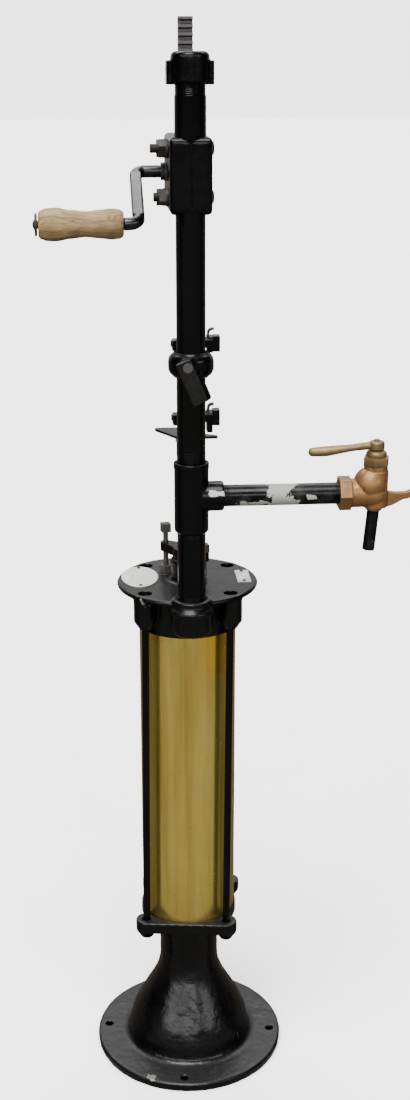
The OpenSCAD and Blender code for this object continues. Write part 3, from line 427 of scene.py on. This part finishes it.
def softened(node, voxel, rounds, lumps=0.0, lump_size=12.0, look=None, keep=1.0):
    """A cast copy of a CAD node, with its edges and inner corners rounded and its skin slightly uneven."""
    source = nodes[node]
    obj = bpy.data.objects.new(node + "_cast", source.data.copy())
    bpy.context.collection.objects.link(obj)
    remesh = obj.modifiers.new("skin", "REMESH")
    remesh.mode = "VOXEL"
    remesh.voxel_size = voxel * MM
    smooth = obj.modifiers.new("soften", "SMOOTH")
    smooth.factor = 0.5
    smooth.iterations = rounds
    if lumps:
        texture = bpy.data.textures.new(node + "_skin", "CLOUDS")
        texture.noise_scale = lump_size * MM
        texture.noise_depth = 2
        displace = obj.modifiers.new("lumps", "DISPLACE")
        displace.texture = texture
        displace.texture_coords = "LOCAL"
        displace.strength = lumps * MM
        displace.mid_level = 0.75
    if keep < 1:
        thin = obj.modifiers.new("thin", "DECIMATE")
        thin.ratio = keep
    apply_modifiers(obj)
    shade_smooth(obj)
    return finish_piece(obj, node, look or look_of.get(node, "casting"), (node,))


def placed(bm, origin, along):
    """Turns a shape made along +Z so that it runs along a direction from an origin in millimetres."""
    turn = Vector(along).to_track_quat("Z", "Y").to_matrix().to_4x4()
    bmesh.ops.transform(bm, verts=bm.verts, matrix=Matrix.Translation(Vector(origin) * MM) @ turn)


def skin_of(bm, grid, wrap=True, close=True):
    """Joins rings of points into a surface; each ring goes round, and the ends can be capped."""
    rings = [[bm.verts.new(Vector(p) * MM) for p in ring] for ring in grid]
    count = len(rings[0])
    for a, b in zip(rings, rings[1:]):
        for k in range(count if wrap else count - 1):
            bm.faces.new((a[k], a[(k + 1) % count], b[(k + 1) % count], b[k]))
    if close:
        bm.faces.new(list(reversed(rings[0])))
        bm.faces.new(rings[-1])


def turned(name, outline, origin=(0, 0, 0), along=(0, 0, 1), segments=96, wobble=0.0, seed=0, closed=False):
    """Solid of revolution from (radius, height) points in millimetres. A closed outline makes a tube."""
    rng = random.Random(seed)
    phases = [rng.uniform(0, TURN) for _ in range(4)]
    points = list(outline) + ([outline[0]] if closed else [])
    grid = []
    for r, h in points:
        ring = []
        for k in range(segments):
            a = TURN * k / segments
            oval = math.sin(2 * a + phases[0] + h * 0.03)
            three_lobed = math.sin(3 * a + phases[1] - h * 0.045)
            off = wobble * (oval + 0.6 * three_lobed)
            rr = max(r + (off if r > 1 else 0), 0.01)
            ring.append((rr * math.cos(a), rr * math.sin(a), h))
        grid.append(ring)
    bm = bmesh.new()
    skin_of(bm, grid, close=not closed)
    if closed:
        bmesh.ops.remove_doubles(bm, verts=bm.verts, dist=1e-7)
    placed(bm, origin, along)
    return mesh_object(name, bm)


def thread(name, r, depth, pitch, length, origin, along, segments=72, per_turn=10):
    """A screw thread: a real helix with rounded crests that fades out at both ends."""
    steps = max(2, int(length / pitch * per_turn))
    grid = []
    for i in range(steps + 1):
        h = length * i / steps
        fade = min(1.0, h / pitch, (length - h) / pitch)
        ring = []
        for k in range(segments):
            a = TURN * k / segments
            crest = abs(2 * ((h / pitch - k / segments) % 1) - 1)
            rr = r - depth + depth * fade * crest
            ring.append((rr * math.cos(a), rr * math.sin(a), h))
        grid.append(ring)
    bm = bmesh.new()
    skin_of(bm, grid)
    placed(bm, origin, along)
    return mesh_object(name, bm)


def box_mm(node):
    lo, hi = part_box(node)
    return Vector(lo) / MM, Vector(hi) / MM


def centre_mm(node):
    lo, hi = box_mm(node)
    return (lo + hi) / 2


# ---------------------------------------------------------------- castings

for node, voxel, rounds, lumps, size in [
    ("pedestal_base", 1.5, 5, 0.7, 14), ("cylinder_head", 1.1, 4, 0.4, 12), ("tee", 0.7, 4, 0.3, 8),
    ("gear_case_left", 0.8, 4, 0.3, 10), ("gear_case_right", 0.8, 4, 0.3, 10), ("top_cap", 0.8, 4, 0.4, 8),
    ("clamp_collar", 0.7, 5, 0.3, 8), ("clamp_lever", 0.5, 4, 0.2, 6), ("gland", 0.7, 3, 0.3, 6),
    ("upper_stop_bracket", 0.5, 3, 0.2, 5), ("lower_stop_bracket", 0.5, 3, 0.2, 5),
    ("upper_stop", 0.5, 3, 0.15, 5), ("lower_stop", 0.5, 3, 0.15, 5), ("rod_coupling", 0.7, 3, 0.2, 6),
    ("stop_arm", 0.5, 2, 0.15, 8), ("crank", 0.7, 4, 0.2, 8), ("faucet_body", 0.5, 9, 0.25, 7),
    ("faucet_handle", 0.5, 6, 0.2, 7),
]:
    softened(node, voxel, rounds, lumps, size)


# ---------------------------------------------------------------- barrel and grip

BARREL_WALL = 4.1
BARREL_RINGS = 40

barrel_lo, barrel_hi = box_mm("barrel")
barrel_r = (barrel_hi.x - barrel_lo.x) / 2
bore_r = barrel_r - BARREL_WALL
barrel_height = barrel_hi.z - barrel_lo.z
barrel_outside = [(barrel_r - 0.15, barrel_lo.z + barrel_height * i / BARREL_RINGS)
                  for i in range(BARREL_RINGS + 1)]
barrel = turned("barrel_tube", barrel_outside + [(bore_r, barrel_hi.z), (bore_r, barrel_lo.z)], segments=192,
                wobble=0.035, seed=3, closed=True)
shade_smooth(barrel, 40)
finish_piece(barrel, "barrel", "brass", ("barrel",))


def grip_outline():
    """Half outline of the wooden grip from its ferrule end, with a bead, a waist and a swelling."""
    stations = [(0, 12.9), (1.2, 14.2), (4, 15.4), (12, 16.25), (24, 15.0), (40, 13.4), (56, 15.2), (72, 17.75),
                (82, 17.3), (88, 15.3), (90.4, 13.2)]
    out = []
    for (z0, r0), (z1, r1) in zip(stations, stations[1:]):
        for i in range(4):
            t = i / 4
            out.append((r0 + (r1 - r0) * (1 - math.cos(math.pi * t)) / 2, z0 + (z1 - z0) * t))
    return out + [(stations[-1][1], stations[-1][0])]


GRIP_BORE = [(4.8, 90.4), (4.8, 3.2), (12.3, 3.1), (12.3, 0.0)]

grip_lo, grip_hi = box_mm("grip")
grip_start = (grip_hi.x, (grip_lo.y + grip_hi.y) / 2, (grip_lo.z + grip_hi.z) / 2)
grip = turned("grip_turned", GRIP_BORE + grip_outline(), grip_start, (-1, 0, 0), 96, 0.16, 5, closed=True)
shade_smooth(grip, 40)
finish_piece(grip, "grip", "wood", ("grip",))


# ---------------------------------------------------------------- threads

# (depth, pitch) in millimetres.
COLUMN_THREAD = (0.6, 2.2)
OUTLET_THREAD = (0.55, 1.8)
OUTLET_THREAD_LENGTH = 8
BOSS_TOP_Z = 675


def pipe_thread(name, r, form, length, origin, along, node):
    piece = thread(name, r, *form, length, origin, along)
    shade_smooth(piece, 50)
    finish_piece(piece, node, "pipe")


column = centre_mm("column_pipe")
column_r = (box_mm("riser_pipe")[1].x - box_mm("riser_pipe")[0].x) / 2
tee_lo, tee_hi = box_mm("tee")
cap_bottom = box_mm("top_cap")[0].z

for name, proud, length, bottom, node in [
    ("tee_thread", 0.35, 15, tee_hi.z - 1, "column_pipe"),
    ("riser_thread", 0.35, 7, tee_lo.z - 6.2, "riser_pipe"),
    ("cap_thread", 0.3, 16, cap_bottom - 14, "column_pipe"),
    ("boss_thread", 0.35, 9, BOSS_TOP_Z, "riser_pipe"),
]:
    pipe_thread(name, column_r + proud, COLUMN_THREAD, length, (column.x, column.y, bottom), (0, 0, 1), node)

discharge_lo, discharge_hi = box_mm("discharge_pipe")
discharge_r = (discharge_hi.z - discharge_lo.z) / 2
outlet_z = (discharge_hi.z + discharge_lo.z) / 2
faucet_left = box_mm("faucet_body")[0].x

for name, start in [("outlet_thread", tee_hi.x - 1), ("faucet_thread", faucet_left - 6)]:
    pipe_thread(name, discharge_r + 0.3, OUTLET_THREAD, OUTLET_THREAD_LENGTH,
                (start, column.y, outlet_z), (1, 0, 0), "discharge_pipe")


# ---------------------------------------------------------------- CAD nodes that stay

for node, obj in nodes.items():
    if obj.hide_render:
        continue
    for index in range(max(1, len(obj.material_slots))):
        if not obj.material_slots:
            obj.data.materials.append(None)
        obj.material_slots[index].material = mats[look_of.get(node, "casting")]


# ---------------------------------------------------------------- floor, light and camera

def floor():
    """Pale floor. It is darker in reflections, so that the black enamel stays black."""
    s = Shade("floor_pale")
    tone = s.ramp(s.noise(5, 5, 0.6), (0.3, (0.93, 0.925, 0.91)), (0.7, (0.96, 0.955, 0.94)))
    seen = s.tree.nodes.new("ShaderNodeLightPath").outputs["Is Camera Ray"]
    side = s.math("DIVIDE", s.axis(1), s.math("ADD", s.math("ABSOLUTE", s.axis(0)), 0.03))
    mirrored = s.ramp(s.math("MULTIPLY", s.math("ADD", side, 1.0), 0.5), (0.33, (0.12, 0.115, 0.10)),
                      (0.38, (0.012, 0.011, 0.01)), (0.46, (0.012, 0.011, 0.01)), (0.5, (0.05, 0.04, 0.03)))
    mat = s.done(Base_Color=s.mix(seen, mirrored, tone), Roughness=0.9, Specular_IOR_Level=0.1)
    mesh = bpy.data.meshes.new("floor")
    half = 40
    corners = [(-half, -half, 0), (half, -half, 0), (half, half, 0), (-half, half, 0)]
    mesh.from_pydata(corners, [], [(0, 1, 2, 3)])
    obj = bpy.data.objects.new("floor", mesh)
    obj.data.materials.append(mat)
    bpy.context.collection.objects.link(obj)


def soft_sun(name, toward, spread, power):
    """A wide, even light from one direction, like a large softbox far away."""
    light = bpy.data.lights.new(name, "SUN")
    light.angle = math.radians(spread)
    light.energy = power
    obj = bpy.data.objects.new(name, light)
    obj.rotation_euler = Vector(toward).to_track_quat("Z", "Y").to_euler()
    bpy.context.collection.objects.link(obj)


def world():
    """Pale surroundings. Reflections see a wall behind, a dim ceiling, dark sides and windows in front."""
    made = bpy.data.worlds.new("studio")
    made.use_nodes = True
    tree = made.node_tree
    tree.nodes.clear()
    new, link = tree.nodes.new, tree.links.new
    direction = new("ShaderNodeSeparateXYZ")
    link(new("ShaderNodeTexCoord").outputs["Generated"], direction.inputs[0])

    def along(axis, *stops):
        spread = new("ShaderNodeMapRange")
        spread.inputs["From Min"].default_value = -1
        link(direction.outputs[axis], spread.inputs["Value"])
        ramp = new("ShaderNodeValToRGB")
        while len(ramp.color_ramp.elements) < len(stops):
            ramp.color_ramp.elements.new(0.5)
        for element, (at, grey) in zip(ramp.color_ramp.elements, stops):
            element.position, element.color = (at + 1) / 2, (grey, grey, grey, 1)
        link(spread.outputs["Result"], ramp.inputs["Fac"])
        return ramp.outputs["Color"]

    def combine(kind, a, b):
        node = new("ShaderNodeVectorMath")
        node.operation = kind
        link(a, node.inputs[0])
        link(b, node.inputs[1])
        return node.outputs[0]

    def scaled(value, factor):
        node = new("ShaderNodeVectorMath")
        node.operation = "SCALE"
        link(value, node.inputs[0])
        node.inputs["Scale"].default_value = factor
        return node.outputs[0]

    wall = along("Y", (0.1, 0.004), (0.45, 0.02), (0.62, 0.55), (0.9, 1.0))
    ceiling = along("Z", (0.72, 0.0), (0.95, 0.35))
    height = along("Z", (0.12, 0), (0.22, 1), (0.40, 1), (0.47, 0))
    panes = along("X", (-0.86, 0), (-0.78, 0.8), (-0.42, 0.9), (-0.36, 0.25), (-0.28, 1), (0.2, 1),
                  (0.26, 0.3), (0.45, 0.25), (0.52, 0.8), (0.78, 0.6), (0.86, 0))
    front = along("Y", (-0.4, 1.0), (-0.15, 0))
    band = combine("MULTIPLY", combine("MULTIPLY", height, panes), front)
    strip = combine("MULTIPLY", along("Z", (0.60, 0), (0.68, 1), (0.87, 1), (0.93, 0)),
                    along("Y", (0.30, 0), (0.40, 1), (0.72, 1), (0.80, 0)))
    pale = new("ShaderNodeBackground")
    pale.inputs["Color"].default_value = (1, 1, 1, 1)
    pale.inputs["Strength"].default_value = SKY
    around = new("ShaderNodeBackground")
    lamps = combine("ADD", scaled(band, WINDOW_POWER), scaled(strip, STRIP_POWER))
    link(combine("ADD", combine("ADD", wall, ceiling), lamps), around.inputs["Color"])
    choose = new("ShaderNodeMixShader")
    link(new("ShaderNodeLightPath").outputs["Is Camera Ray"], choose.inputs["Fac"])
    link(around.outputs[0], choose.inputs[1])
    link(pale.outputs[0], choose.inputs[2])
    out = new("ShaderNodeOutputWorld")
    link(choose.outputs[0], out.inputs["Surface"])
    bpy.context.scene.world = made


def camera():
    data = bpy.data.cameras.new("camera")
    data.sensor_width = 36
    data.lens = 47.65
    obj = bpy.data.objects.new("camera", data)
    obj.location = (-0.1131, -1.7255, 1.2834)
    obj.rotation_euler = (math.radians(71.74), 0, math.radians(-4.49))
    bpy.context.collection.objects.link(obj)
    bpy.context.scene.camera = obj


floor()
world()
soft_sun("overhead", (-0.15, -0.42, 1.0), 40, 9.0)
camera()
